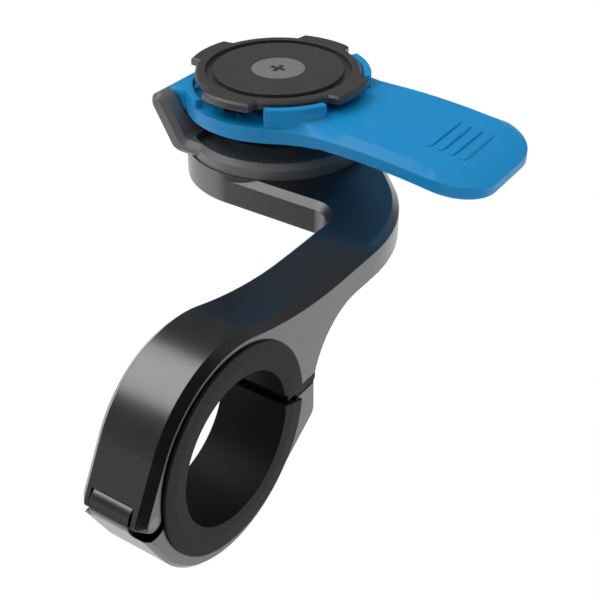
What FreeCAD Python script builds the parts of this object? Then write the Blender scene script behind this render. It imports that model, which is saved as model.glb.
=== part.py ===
import FreeCAD
import Part
import Sketcher
import math
import os
import re
from FreeCAD import Vector

# Bike phone mount: a hinged bar clamp, a swan-necked arm and a twist-lock head with a press lever.
# The origin is the middle of the bar bore. X runs forward to the head, Y along the bar, Z up.

# Driving sizes in millimetres and degrees
SIZES = {
    # Clearances
    "run_gap": 0.3,          # between pieces that move past each other
    "pin_gap": 0.05,         # radial, a pin turning in its bore
    "seat_gap": 0.05,        # between pieces that are held still against each other
    # Bar clamp
    "bar_d": 25.4,           # bar that the collar is bored for
    "clamp_bore_d": 31.8,    # bore of the clamp round the collar
    "arm_width": 12.0,       # clamp and arm, along the bar
    "band_t": 3.8,           # wall of the arm's half of the band
    "strap_t": 3.4,          # wall of the strap's half of the band
    "strap_shift": 0.5,      # strap's outside set back towards the hinge
    "split_z": 0.4,          # lug face of the arm, level with the hinge pin
    "split_gap": 1.85,       # gap between the two lugs
    "lug_out": 5.35,         # arm's lug in front of the bore
    "strap_lug_out": 6.1,    # strap's lug in front of the bore
    "strap_lug_z": 7.8,      # depth of the lug's corner below the bore's centre
    "strap_lug_slope": 33,   # slope of the lug's underside
    "strap_lug_round": 2.5,
    "strap_edge": 0.6,       # broken edge round the strap
    # Clamp hinge
    "hinge_out": 3.3,        # pin behind the bore
    "hinge_pin_d": 2.0,
    "nose_r": 2.75,          # outside of the arm's ears round the pin
    "barrel_r": 2.95,        # strap's knuckle between the ears
    "ear_t": 2.1,
    "ear_end_r": 1.5,        # lower end of the ears below the pin
    # Clamp screw
    "screw_out": 2.9,        # screw in front of the bore
    "screw_d": 3.0,
    "screw_head_d": 5.5,
    "screw_head_t": 3.0,
    "screw_key": 2.5,        # across the flats of the key socket
    "screw_seat": 7.0,       # spot face below the bore's centre
    "screw_bite": 5.0,       # length inside the arm's lug
    "swing_room": 0.6,       # radial room for the screw as it swings out with the strap
    # Collar in the clamp
    "flange_reach": 1.6,     # flange beyond the clamp's bore
    "flange_t": 0.45,
    "mouth_w": 2.2,          # bevel at the bore's ends
    "mouth_t": 0.12,
    "slit_w": 2.1,           # slit in the collar, measured upright
    "slit_z": -0.45,         # middle of the slit at the clamp's bore
    "slit_slope": 20,        # fall of the slit outwards
    "tongue_t": 1.5,         # collar's tongue between the lugs
    "tongue_inset": 0.2,     # tongue inside the end of the arm's lug
    "tongue_round": 0.9,
    "tongue_root": 1.1,      # tongue's root outside the bar
    "root_t": 0.7,           # root below the tongue's top
    "root_rise": 1.05,       # root above it, into the slit's upper lip
    "flange_round": 0.25,
    # Arm
    "arm_top": 15.3,
    "arm_thick": 6.25,
    "neck_r": 82.0,          # concave run from the band to the flat top
    "under_r": 13.0,         # concave underside from the flat to the lug
    "corner_x": 40.1,        # start of the outer corner
    "corner_r": 31.7,
    "inner_r": 4.5,
    "edge_chamfer": 1.3,
    "under_chamfer": 0.2,    # along the arm's underside
    # Head
    "head_x": 64.9,
    "head_y": 30.8,
    "seat_d": 36.0,          # dish and lever ring
    "arm_end_reach": 0.3,    # arm's round end beyond the dish
    # Cradle under the lever
    "rim_t": 3.05,           # height of the dish
    "rim_wall": 1.15,
    "rim_chamfer": 1.05,
    "floor_t": 1.6,
    "boss_edge": 0.4,        # boss beyond the spring that stands on it
    "boss_t": 3.2,
    "ear_inset": 1.45,       # ears' outsides inside the head's round
    "cradle_ear_t": 3.85,
    "foot_round": 1.5,       # hollow corner from the rim up to the ears
    "heel_round": 2.5,       # round under the back of the dish
    "lean": 30,              # ears from upright
    "pivot_inset": 1.1,      # lever pin inside the head's round
    "pivot_end_r": 2.0,      # top of the ears round the lever pin
    "back_wall_z": 6.0,      # wall between the ears
    "dish_back": 10.5,       # back edge of the dish
    "lever_pin_d": 1.5,
    "pin_blind": 0.8,        # wall left at the blind end of the lever pin's hole
    # Lever
    "ring_z": 7.65,          # underside of the lever's ring above the arm's top
    "ring_t": 2.85,
    "lever_room": 0.4,       # lever's side room between the ears
    "pivot_drop": 1.3,       # lever pin below the ring's top
    "plate_front": 12.5,     # front edge of the raised back plate, behind the head's axis
    "paddle_w": 28.0,
    "paddle_tip": 49.3,      # tip in front of the head's axis
    "paddle_corner": 10.5,
    "paddle_side_t": 2.05,   # thickness at the paddle's edge
    "ramp_y": 9.0,           # where the ring's underside starts to rise to the paddle's
    "ramp_step": 0.1,        # ramp's end below the paddle's underside
    "bevel_w": 2.1,
    "bevel_t": 1.15,
    "droop_y": 20.0,         # where the paddle starts to droop
    "droop_r": 145.0,
    "throat_r": 25.0,        # plan curve from the ring to the paddle
    "lug_wall": 1.35,        # raised locking lugs on the ring
    "lug_step": 0.15,        # lugs inside the ring's edge
    "lug_half_angle": 19,
    "front_lug_drop": 0.75,  # lugs below the disc's face
    "rear_lug_drop": 2.8,
    "rib_r": 14.3,           # small ribs on the ring under the tabs
    "rib_w": 1.0,
    "rib_t": 0.5,
    "rib_angle": 8,
    "rib_turn": 177,         # middle of the pair
    "spring_seat_t": 0.3,
    # Centre post and return spring
    "post_d": 18.0,
    "post_room": 0.9,        # radial room for the lever to tilt round the post
    "spring_wire_d": 0.6,
    "spring_turns": 2.25,
    # Lock disc
    "disc_room": 2.15,       # between the ring and the disc
    "disc_t": 2.2,
    "core_inset": 2.05,      # disc inside the head's round
    "under_inset": 1.75,     # underside inside the disc's core
    "disc_edge": 0.4,        # broken edge of the disc and its tabs
    "groove_rim": 1.85,      # rim outside the ring groove
    "groove_w": 1.5,
    "groove_t": 0.9,
    "tab_reach": 1.95,       # tabs beyond the disc's core
    "tab_t": 1.5,
    "tab_half_angle": 17.2,
    "tab_root_angle": 21.5,
    # Head screw
    "head_screw_d": 5.0,
    "head_screw_head_d": 10.4,
    "head_screw_room": 0.25, # radial clearance through the disc, post and cradle
    "head_screw_sink": 0.1,  # head below the disc's face
    "head_screw_bite": 5.2,  # length in the arm
    "cross_w": 1.0,
    "cross_l": 3.4,
    "cross_t": 1.6,
}

# Sizes that follow from the ones above
WORKED_OUT = {
    "half_w": "arm_width / 2",
    "bore_r": "clamp_bore_d / 2",
    "band_r": "bore_r + band_t",
    "strap_r": "bore_r + strap_t",
    "flange_r": "bore_r + flange_reach",
    "hinge_x": "bore_r + hinge_out",
    "lug_x": "bore_r + lug_out",
    "strap_lug_x": "bore_r + strap_lug_out",
    "screw_x": "bore_r + screw_out",
    "arm_floor": "arm_top - arm_thick",
    "slit_run": "flange_r - bar_d / 2",
    "slit_fall": "slit_run * tan(slit_slope)",
    "strap_top": "split_z - split_gap",
    # Underside arc of the arm, cut off at the split
    "under_x": "lug_x + under_r",
    "under_z": "arm_floor - under_r",
    "lug_foot_x": "under_x - sqrt(under_r^2 - (split_z - under_z)^2)",
    # Concave neck, tangent to the band and to the flat top
    "neck_x": "sqrt((band_r + neck_r)^2 - (arm_top + neck_r)^2)",
    "neck_share": "band_r / (band_r + neck_r)",
    # Lines tangent to the band and to the hinge's nose, as the angle of their normal
    "hinge_away": "sqrt(hinge_x^2 + split_z^2)",
    "hinge_turn": "asin(split_z / hinge_away) / 1deg",
    "back_turn": "180 - hinge_turn - acos((band_r - nose_r) / hinge_away) / 1deg",
    "strap_hinge_away": "sqrt((hinge_x - strap_shift)^2 + split_z^2)",
    "strap_hinge_turn": "asin(split_z / strap_hinge_away) / 1deg",
    "strap_turn": "180 - strap_hinge_turn + acos((strap_r - barrel_r) / strap_hinge_away) / 1deg",
    # Slanted lower edge of an ear, tangent to its round end
    "ear_slant": "180 + acos(ear_end_r / nose_r) / 1deg",
    # Strap lug's underside down to the band
    "slope_reach": "(strap_lug_x + strap_shift) * sin(strap_lug_slope) + strap_lug_z * cos(strap_lug_slope)",
    "slope_turn": "strap_lug_slope - 90 + acos(slope_reach / strap_r) / 1deg",
    # Outer corner of the arm and the line from it to the round end, as the angle of its normal
    "arm_end_r": "seat_d / 2 + arm_end_reach",
    "corner_y": "corner_r - half_w",
    "corner_away": "sqrt((head_x - corner_x)^2 + (head_y - corner_y)^2)",
    "corner_lean": "asin((head_y - corner_y) / corner_away) / 1deg",
    "corner_turn": "corner_lean - acos((corner_r - arm_end_r) / corner_away) / 1deg",
    "rear_x": "head_x - arm_end_r",
    # Lever pin, and the widths at the back of the head
    "ring_top": "ring_z + ring_t",
    "pivot_y": "seat_d / 2 - pivot_inset",
    "pivot_z": "ring_top - pivot_drop",
    "cradle_w": "seat_d - 2 * ear_inset",
    "ear_gap": "cradle_w - 2 * cradle_ear_t",
    "lever_back": "ear_gap - 2 * lever_room",
    # Cradle: where its straight sides leave the round, and its leaning back
    "side_y": "sqrt(seat_d^2 - cradle_w^2) / 2",
    "dish_r": "seat_d / 2 - rim_wall",
    "dish_back_x": "sqrt(dish_r^2 - dish_back^2)",
    "ear_front_y": "pivot_y - pivot_end_r * cos(lean)",
    "ear_front_z": "pivot_z + pivot_end_r * sin(lean)",
    "ear_back_y": "pivot_y + pivot_end_r * cos(lean)",
    "ear_back_z": "pivot_z - pivot_end_r * sin(lean)",
    "foot_y": "ear_front_y - (ear_front_z - rim_t) * tan(lean)",
    "foot_run": "foot_round * tan(45 - lean / 2)",
    "heel_y": "ear_back_y - ear_back_z * tan(lean)",
    "heel_run": "heel_round * tan(45 - lean / 2)",
    # Lever: throat curve, tangent to the ring and to the paddle's side
    "throat_x": "paddle_w / 2 + throat_r",
    "throat_y": "sqrt((seat_d / 2 + throat_r)^2 - throat_x^2)",
    "throat_share": "seat_d / 2 / (seat_d / 2 + throat_r)",
    "lever_back_y": "sqrt(seat_d^2 - lever_back^2) / 2",
    "paddle_top": "ring_top + bevel_t",
    "paddle_under": "ring_top - paddle_side_t",
    "lug_r": "seat_d / 2 - lug_step",
    "tip_drop_angle": "asin((paddle_tip - droop_y + 2) / droop_r) / 1deg",
    "lever_hole_r": "post_d / 2 + post_room",
    "spring_r": "lever_hole_r + spring_wire_d",
    "boss_r": "spring_r + spring_wire_d / 2 + boss_edge",
    "disc_z": "ring_top + disc_room",
    "disc_top": "disc_z + disc_t",
    "core_r": "seat_d / 2 - core_inset",
    "tab_r": "core_r + tab_reach",
    "groove_r": "core_r - groove_rim",
    "head_screw_r": "head_screw_d / 2",
    "screw_way_r": "head_screw_r + head_screw_room",
    "sink_r": "head_screw_head_d / 2 + seat_gap",
    "sink_foot_r": "sink_r - (disc_t - head_screw_sink)",
    "head_screw_top": "disc_top - head_screw_sink",
}

# Room past the outline for cuts that go right through
BEYOND = 30.0
# Room for telling edges apart by their middles
PICK_ROOM = 0.5

doc = FreeCAD.newDocument("BikePhoneMount")
sheet = doc.addObject("Spreadsheet::Sheet", "Sizes")


def tie(text):
    """Make a formula on size names read the sheet."""
    return re.sub(r"[a-z]\w*", lambda word: f"Sizes.{word[0]}" if word[0] in NAMES else word[0], text)


def number(text):
    """Work a formula out from the sheet's present values."""
    worth = sheet.evalExpression(tie(text))
    return float(getattr(worth, "Value", worth))


def fill_sheet():
    """Put every size in the sheet under its own name."""
    rows = [(name, str(worth)) for name, worth in SIZES.items()]
    rows += [(name, f"={formula}") for name, formula in WORKED_OUT.items()]
    for row, (name, content) in enumerate(rows, 1):
        sheet.set(f"A{row}", name)
        sheet.set(f"B{row}", content)
        sheet.setAlias(f"B{row}", name)
    doc.recompute()


NAMES = set(SIZES) | set(WORKED_OUT)
fill_sheet()


def new_body(label, at_head=False):
    """Start a sub-part, in the clamp's frame or standing on the arm's top at the head's axis."""
    body = doc.addObject("PartDesign::Body", label)
    body.Label = label
    if at_head:
        for axis, size in (("x", "head_x"), ("y", "head_y"), ("z", "arm_top")):
            body.setExpression(f"Placement.Base.{axis}", tie(size))
    return body


def origin_part(body, role):
    """Find a plane or an axis of a body's own origin."""
    return next(part for part in body.Origin.OriginFeatures if part.Role == role)


def arc_between(start, end, turn, radius):
    """Arc under half a circle from start to end: turn is 1 anticlockwise, -1 clockwise."""
    chord = end - start
    rise = math.sqrt(max(radius ** 2 - chord.Length ** 2 / 4, 0))
    centre = (start + end) / 2 + Vector(-chord.y, chord.x, 0).normalize() * rise * turn
    first, last = (start, end) if turn > 0 else (end, start)
    angles = [math.atan2(spot.y - centre.y, spot.x - centre.x) for spot in (first, last)]
    return Part.ArcOfCircle(Part.Circle(centre, Vector(0, 0, 1), radius), *angles)


class Drawing:
    """A sketch on one of a body's origin planes, with its corners and radii tied to the sheet."""

    def __init__(self, body, name, plane, lift=None):
        self.sketch = body.newObject("Sketcher::SketchObject", name)
        self.sketch.AttachmentSupport = [(origin_part(body, plane), "")]
        self.sketch.MapMode = "FlatFace"
        if lift:
            self.sketch.setExpression("AttachmentOffset.Base.z", tie(lift))

    def rule(self, kind, *where, formula):
        """Add a dimension and tie it to a formula."""
        index = self.sketch.addConstraint(Sketcher.Constraint(kind, *where, number(formula)))
        self.sketch.setExpression(f"Constraints[{index}]", tie(formula))

    def place(self, shape, end, x, y):
        """Tie one point's coordinates, on an axis where the formula is a plain zero."""
        for kind, formula, axis in (("DistanceX", x, -2), ("DistanceY", y, -1)):
            if formula == "0":
                self.sketch.addConstraint(Sketcher.Constraint("PointOnObject", shape, end, axis))
            else:
                self.rule(kind, shape, end, formula=formula)

    def loop(self, corners, closed=True):
        """Join corners (x, y) by lines, or by arcs from corners (x, y, turn, radius)."""
        spots = [Vector(number(corner[0]), number(corner[1]), 0) for corner in corners]
        count = len(corners) if closed else len(corners) - 1
        ends = []
        for index in range(count):
            start, end = spots[index], spots[(index + 1) % len(spots)]
            if len(corners[index]) == 2:
                shape = self.sketch.addGeometry(Part.LineSegment(start, end), False)
                ends.append((shape, 1, 2))
            else:
                turn, radius = corners[index][2:]
                arc = arc_between(start, end, turn, number(radius))
                shape = self.sketch.addGeometry(arc, False)
                self.rule("Radius", shape, formula=radius)
                ends.append((shape, 1, 2) if turn > 0 else (shape, 2, 1))
        for index, (shape, first, last) in enumerate(ends):
            self.place(shape, first, *corners[index][:2])
            if closed or index + 1 < count:
                following, begin, _ = ends[(index + 1) % count]
                self.sketch.addConstraint(Sketcher.Constraint("Coincident", shape, last, following, begin))
        if not closed:
            self.place(ends[-1][0], ends[-1][2], *corners[-1][:2])
        return self

    def circle(self, x, y, radius):
        """Add a whole circle."""
        ring = Part.Circle(Vector(number(x), number(y), 0), Vector(0, 0, 1), number(radius))
        shape = self.sketch.addGeometry(ring, False)
        self.place(shape, 3, x, y)
        self.rule("Radius", shape, formula=radius)
        return self

    def box(self, low_x, low_y, high_x, high_y):
        """Add a rectangle."""
        return self.loop([(low_x, low_y), (high_x, low_y), (high_x, high_y), (low_x, high_y)])


def swell(body, drawing, name, length, symmetric=False, reverse=False):
    """Pad a drawing by a formula's length."""
    pad = body.newObject("PartDesign::Pad", name)
    pad.Profile = drawing.sketch
    pad.setExpression("Length", tie(length))
    pad.SideType = "Symmetric" if symmetric else "One side"
    pad.Reversed = reverse
    doc.recompute()
    return pad


def cut(body, drawing, name, depth=None, symmetric=False, reverse=False):
    """Pocket a drawing, right through both ways where no depth is given."""
    before = body.Shape.Volume
    pocket = body.newObject("PartDesign::Pocket", name)
    pocket.Profile = drawing.sketch
    if depth:
        pocket.setExpression("Length", tie(depth))
        pocket.SideType = "Symmetric" if symmetric else "One side"
    else:
        pocket.Type = "ThroughAll"
        pocket.SideType = "Symmetric"
    pocket.Reversed = reverse
    doc.recompute()
    if body.Shape.Volume > before - 1e-6:
        raise RuntimeError(f"{name} cuts nothing from {body.Label}")
    return pocket


def spin(body, drawing, name, axis):
    """Turn a drawing a full turn about one of its own axes."""
    turned = body.newObject("PartDesign::Revolution", name)
    turned.Profile = drawing.sketch
    turned.ReferenceAxis = (drawing.sketch, [axis])
    turned.Angle = 360
    doc.recompute()
    return turned


def around(body, features, name, count, sweep=360):
    """Repeat features about the body's upright axis."""
    pattern = body.newObject("PartDesign::PolarPattern", name)
    pattern.Originals = features
    pattern.Axis = (origin_part(body, "Z_Axis"), [""])
    pattern.Angle = sweep
    pattern.Occurrences = count
    body.Tip = pattern
    doc.recompute()
    return pattern


def edges_where(shape, test):
    """Names of the edges whose middle point and two faces pass a test."""
    picked = []
    for index, edge in enumerate(shape.Edges, 1):
        middle = edge.valueAt((edge.FirstParameter + edge.LastParameter) / 2)
        faces = shape.ancestorsOfType(edge, Part.Face)
        if len(faces) == 2 and test(middle, faces):
            picked.append(f"Edge{index}")
    return picked


def trim_edges(body, kind, name, size, test):
    """Chamfer or fillet the picked edges of the body's last feature."""
    base = body.Tip
    trim = body.newObject(f"PartDesign::{kind}", name)
    trim.Base = (base, edges_where(base.Shape, test))
    trim.setExpression("Size" if kind == "Chamfer" else "Radius", tie(size))
    doc.recompute()
    return trim


def face_normal(face):
    """Normal at the middle of a face's parameter range."""
    low_u, high_u, low_v, high_v = face.ParameterRange
    return face.normalAt((low_u + high_u) / 2, (low_v + high_v) / 2)


def upright(face):
    """Whether a face is a wall square to the plan."""
    return abs(face_normal(face).z) < 1e-6


# Arm: the side view is padded across, then trimmed to the plan view
def hinge_outline(turn, radius):
    """Point on a circle round the hinge pin, by the angle of its normal."""
    return f"-hinge_x + {radius} * cos({turn})", f"split_z + {radius} * sin({turn})"


def make_arm():
    body = new_body("arm")
    side = Drawing(body, "arm_side", "XZ_Plane")
    side.loop([
        ("lug_foot_x", "split_z", -1, "under_r"),
        ("under_x", "arm_floor"),
        (f"head_x + seat_d / 2 + {BEYOND}", "arm_floor"),
        (f"head_x + seat_d / 2 + {BEYOND}", "arm_top"),
        ("neck_x", "arm_top", -1, "neck_r"),
        ("neck_x * neck_share", "(arm_top + neck_r) * neck_share", 1, "band_r"),
        ("band_r * cos(back_turn)", "band_r * sin(back_turn)"),
        (*hinge_outline("back_turn", "nose_r"), 1, "nose_r"),
        ("-hinge_x - nose_r", "split_z"),
        (*hinge_outline("ear_slant", "ear_end_r"), 1, "ear_end_r"),
        ("-hinge_x + ear_end_r", "split_z"),
    ])
    swell(body, side, "arm_slab", f"2 * (head_y + seat_d / 2 + {BEYOND})", symmetric=True)

    plan = Drawing(body, "arm_plan", "XY_Plane")
    far_x = f"head_x + seat_d + 2 * {BEYOND}"
    far_y = f"head_y + seat_d / 2 + 2 * {BEYOND}"
    plan.box(f"-hinge_x - 2 * {BEYOND}", f"-({far_y})", far_x, far_y)
    plan.loop([
        (f"-hinge_x - {BEYOND}", "-half_w"),
        ("corner_x", "-half_w", 1, "corner_r"),
        ("corner_x + corner_r * cos(corner_turn)", "corner_y + corner_r * sin(corner_turn)"),
        ("head_x + arm_end_r * cos(corner_turn)", "head_y + arm_end_r * sin(corner_turn)", 1, "arm_end_r"),
        ("head_x", "head_y + arm_end_r", 1, "arm_end_r"),
        ("rear_x", "head_y"),
        ("rear_x", "half_w + inner_r", -1, "inner_r"),
        ("rear_x - inner_r", "half_w"),
        (f"-hinge_x - {BEYOND}", "half_w"),
    ])
    cut(body, plan, "arm_trim")

    def outline_edge(middle, faces):
        return middle.z > number("split_z") + PICK_ROOM and upright(faces[0]) != upright(faces[1])

    def facing(faces):
        return face_normal(faces[0]).z + face_normal(faces[1]).z

    trim_edges(body, "Chamfer", "arm_chamfer", "edge_chamfer",
               lambda middle, faces: outline_edge(middle, faces) and facing(faces) > 0)
    trim_edges(body, "Chamfer", "arm_under_chamfer", "under_chamfer",
               lambda middle, faces: outline_edge(middle, faces) and facing(faces) < 0)

    seat = Drawing(body, "head_seat", "XY_Plane", "arm_top").circle("head_x", "head_y", "arm_end_r")
    swell(body, seat, "head_seat_pad", "edge_chamfer * 2", reverse=True)
    cut(body, Drawing(body, "bore", "XZ_Plane").circle("0", "0", "bore_r"), "bore_cut")
    knuckle = Drawing(body, "knuckle_slot", "XZ_Plane")
    knuckle.circle("-hinge_x", "split_z", "barrel_r + run_gap")
    cut(body, knuckle, "knuckle_cut", "arm_width - 2 * ear_t", symmetric=True)
    pin = Drawing(body, "hinge_hole", "XZ_Plane").circle("-hinge_x", "split_z", "hinge_pin_d / 2")
    cut(body, pin, "hinge_hole_cut")
    tapped = Drawing(body, "clamp_screw_hole", "XY_Plane", "split_z")
    tapped.circle("screw_x", "0", "screw_d / 2 + swing_room")
    cut(body, tapped, "clamp_screw_hole_cut", "screw_bite + 2 * run_gap", reverse=True)
    top = Drawing(body, "head_screw_hole", "XY_Plane").circle("head_x", "head_y", "head_screw_r + seat_gap")
    cut(body, top, "head_screw_hole_cut")
    return body


def make_strap():
    """Lower half of the clamp: band, hinge knuckle and lug."""
    body = new_body("clamp_strap")
    side = Drawing(body, "strap_side", "XZ_Plane")
    side.loop([
        (*hinge_outline("strap_turn", "barrel_r"),),
        ("-strap_shift + strap_r * cos(strap_turn)", "strap_r * sin(strap_turn)", 1, "strap_r"),
        ("-strap_shift", "-strap_r", 1, "strap_r"),
        ("-strap_shift + strap_r * cos(slope_turn)", "strap_r * sin(slope_turn)"),
        ("strap_lug_x", "-strap_lug_z"),
        ("strap_lug_x", "strap_top"),
        ("-hinge_x", "strap_top"),
    ])
    swell(body, side, "strap_slab", "arm_width", symmetric=True)
    trim_edges(body, "Fillet", "strap_lug_corner", "strap_lug_round",
               lambda middle, faces: abs(middle.x - number("strap_lug_x")) < 1e-4
               and abs(middle.z + number("strap_lug_z")) < 1e-4)
    half = number("half_w")
    trim_edges(body, "Chamfer", "strap_edges", "strap_edge",
               lambda middle, faces: abs(abs(middle.y) - half) < 1e-6
               and middle.z < number("strap_top") - PICK_ROOM)
    relief = Drawing(body, "ear_relief", "XZ_Plane").circle("-hinge_x", "split_z", "nose_r + run_gap")
    cut(body, relief, "ear_relief_cut")
    barrel = Drawing(body, "knuckle", "XZ_Plane")
    barrel.loop([
        (*hinge_outline("strap_turn", "barrel_r"), -1, "barrel_r"),
        (*hinge_outline("90", "barrel_r"), -1, "barrel_r"),
        (*hinge_outline("0", "barrel_r"),),
        ("-hinge_x + nose_r + 2 * run_gap", "strap_top"),
        ("-hinge_x + nose_r + 2 * run_gap", "-nose_r - 2 * run_gap"),
        ("-hinge_x - barrel_r * cos(strap_turn - 180) + (nose_r + run_gap) * sin(strap_turn - 180)",
         "split_z + barrel_r * sin(strap_turn) - (nose_r + run_gap) * cos(strap_turn - 180)"),
    ])
    swell(body, barrel, "knuckle_pad", "arm_width - 2 * ear_t - 2 * run_gap", symmetric=True)
    bore = Drawing(body, "strap_bore", "XZ_Plane").circle("0", "0", "bore_r + run_gap")
    cut(body, bore, "strap_bore_cut")
    pin = Drawing(body, "knuckle_hole", "XZ_Plane")
    pin.circle("-hinge_x", "split_z", "hinge_pin_d / 2 + pin_gap")
    cut(body, pin, "knuckle_hole_cut")
    hole = Drawing(body, "strap_screw_hole", "XY_Plane").circle("screw_x", "0", "screw_d / 2 + seat_gap")
    cut(body, hole, "strap_screw_hole_cut")
    sink = Drawing(body, "screw_spot_face", "XY_Plane", "-screw_seat")
    sink.circle("screw_x", "0", "screw_head_d / 2 + run_gap")
    cut(body, sink, "screw_spot_face_cut", "strap_r")
    return body


def make_hinge_pin():
    body = new_body("clamp_hinge_pin")
    end = Drawing(body, "pin_end", "XZ_Plane").circle("-hinge_x", "split_z", "hinge_pin_d / 2")
    swell(body, end, "pin", "arm_width", symmetric=True)
    return body


def make_clamp_screw():
    """Socket head screw, set upwards through the strap's lug."""
    body = new_body("clamp_screw")
    head = Drawing(body, "head", "XY_Plane", "-screw_seat").circle("screw_x", "0", "screw_head_d / 2")
    swell(body, head, "head_pad", "screw_head_t", reverse=True)
    shank = Drawing(body, "shank", "XY_Plane", "-screw_seat").circle("screw_x", "0", "screw_d / 2")
    swell(body, shank, "shank_pad", "screw_seat + split_z + screw_bite")
    flat = "screw_key / 2"
    corner = "screw_key / sqrt(3)"
    key = Drawing(body, "key_socket", "XY_Plane", "-screw_seat - screw_head_t")
    key.loop([
        (f"screw_x + {corner}", "0"),
        (f"screw_x + {corner} / 2", flat),
        (f"screw_x - {corner} / 2", flat),
        (f"screw_x - {corner}", "0"),
        (f"screw_x - {corner} / 2", f"-{flat}"),
        (f"screw_x + {corner} / 2", f"-{flat}"),
    ])
    cut(body, key, "key_socket_cut", "screw_head_t / 2", reverse=True)
    return body


def make_collar():
    """Flanged C-collar that brings the clamp down to the bar."""
    body = new_body("bar_collar")
    half = Drawing(body, "collar_section", "XY_Plane")
    wall = "half_w + seat_gap"
    end = f"{wall} + flange_t"
    outer = "bore_r - seat_gap"
    half.loop([
        ("bar_d / 2", f"-({end} - mouth_t)"),
        ("bar_d / 2 + mouth_w", f"-({end})"),
        ("flange_r", f"-({end})"),
        ("flange_r", f"-({wall})"),
        (outer, f"-({wall})"),
        (outer, wall),
        ("flange_r", wall),
        ("flange_r", end),
        ("bar_d / 2 + mouth_w", end),
        ("bar_d / 2", f"{end} - mouth_t"),
    ])
    spin(body, half, "collar_ring", "V_Axis")
    end_y = number(end)
    rim = number("flange_r")
    trim_edges(body, "Fillet", "flange_rounding", "flange_round",
               lambda middle, faces: abs(abs(middle.y) - end_y) < 1e-6
               and abs(math.hypot(middle.x, middle.z) - rim) < 1e-6)
    slit = Drawing(body, "collar_slit", "XZ_Plane")
    slit.loop([
        ("bore_r - slit_run", "slit_z - slit_w / 2 + slit_fall"),
        ("bore_r + slit_run", "slit_z - slit_w / 2 - slit_fall"),
        ("bore_r + slit_run", "slit_z + slit_w / 2 - slit_fall"),
        ("bore_r - slit_run", "slit_z + slit_w / 2 + slit_fall"),
    ])
    cut(body, slit, "collar_slit_cut")
    tongue_top = "split_z - seat_gap"
    tongue_foot = f"{tongue_top} - tongue_t"
    tongue_end = "lug_foot_x - tongue_inset"
    root_x = "bar_d / 2 + tongue_root"
    tongue = Drawing(body, "collar_tongue", "XZ_Plane")
    tongue.loop([
        (root_x, f"{tongue_top} - root_t"),
        ("bore_r + 2 * seat_gap", f"{tongue_top} - root_t"),
        ("bore_r + run_gap", tongue_foot),
        (f"{tongue_end} - tongue_round", tongue_foot, 1, "tongue_round"),
        (tongue_end, f"{tongue_foot} + tongue_round"),
        (tongue_end, tongue_top),
        (f"{outer} - seat_gap", tongue_top),
        (f"{outer} - 3 * seat_gap", f"{tongue_top} + root_rise"),
        (root_x, f"{tongue_top} + root_rise"),
    ])
    swell(body, tongue, "collar_tongue_pad", "arm_width", symmetric=True)
    hole = Drawing(body, "tongue_hole", "XY_Plane").circle("screw_x", "0", "screw_d / 2 + swing_room")
    cut(body, hole, "tongue_hole_cut")
    return body


# Head pieces: their own frames stand on the arm's top at the head's axis
def make_cradle():
    """Dish under the lever, with two leaning ears at the back for the lever pin."""
    body = new_body("lever_cradle", at_head=True)
    side = Drawing(body, "cradle_side", "YZ_Plane")
    side.loop([
        ("-seat_d", "0"),
        ("heel_y - heel_run", "0", 1, "heel_round"),
        ("heel_y + heel_run * sin(lean)", "heel_run * cos(lean)"),
        ("ear_back_y", "ear_back_z", 1, "pivot_end_r"),
        ("pivot_y + pivot_end_r * sin(lean)", "pivot_z + pivot_end_r * cos(lean)", 1, "pivot_end_r"),
        ("ear_front_y", "ear_front_z"),
        ("foot_y + foot_run * sin(lean)", "rim_t + foot_run * cos(lean)", -1, "foot_round"),
        ("foot_y - foot_run", "rim_t"),
        ("-seat_d", "rim_t"),
    ])
    swell(body, side, "cradle_slab", "2 * seat_d", symmetric=True)
    plan = Drawing(body, "cradle_plan", "XY_Plane")
    plan.box("-2 * seat_d", "-2 * seat_d", "2 * seat_d", "2 * seat_d")
    plan.loop([
        ("-cradle_w / 2", "side_y", 1, "seat_d / 2"),
        ("0", "-seat_d / 2", 1, "seat_d / 2"),
        ("cradle_w / 2", "side_y"),
        ("cradle_w / 2", "seat_d"),
        ("-cradle_w / 2", "seat_d"),
    ])
    cut(body, plan, "cradle_trim")
    outer = number("seat_d / 2") - 1e-4
    flank = number("cradle_w / 2") - 1e-4
    floor = number("rim_t") - 1e-4

    def on_rim(middle, faces):
        on_wall = math.hypot(middle.x, middle.y) > outer or abs(middle.x) > flank
        back = number("ear_back_y") - (number("ear_back_z") - middle.z) * number("tan(lean)")
        in_front = middle.y < back - PICK_ROOM
        return on_wall and middle.z > floor and in_front and upright(faces[0]) != upright(faces[1])

    trim_edges(body, "Chamfer", "rim_chamfer_cut", "rim_chamfer", on_rim)
    dish = Drawing(body, "dish", "XY_Plane", "rim_t")
    dish.loop([
        ("-dish_back_x", "dish_back", 1, "dish_r"),
        ("0", "-dish_r", 1, "dish_r"),
        ("dish_back_x", "dish_back"),
    ])
    cut(body, dish, "dish_cut", "rim_t - floor_t")
    slot = Drawing(body, "lever_slot", "XZ_Plane")
    slot.box("-ear_gap / 2", "back_wall_z", "ear_gap / 2", "pivot_z + 2 * pivot_end_r")
    cut(body, slot, "lever_slot_cut")
    boss = Drawing(body, "boss", "XY_Plane").circle("0", "0", "boss_r")
    swell(body, boss, "boss_pad", "boss_t")
    hole = Drawing(body, "screw_way", "XY_Plane").circle("0", "0", "screw_way_r")
    cut(body, hole, "screw_way_cut")
    pin = Drawing(body, "lever_pin_hole", "YZ_Plane", "-cradle_w / 2 + pin_blind")
    pin.circle("pivot_y", "pivot_z", "lever_pin_d / 2")
    cut(body, pin, "lever_pin_hole_cut", "cradle_w", reverse=True)
    return body


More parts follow.
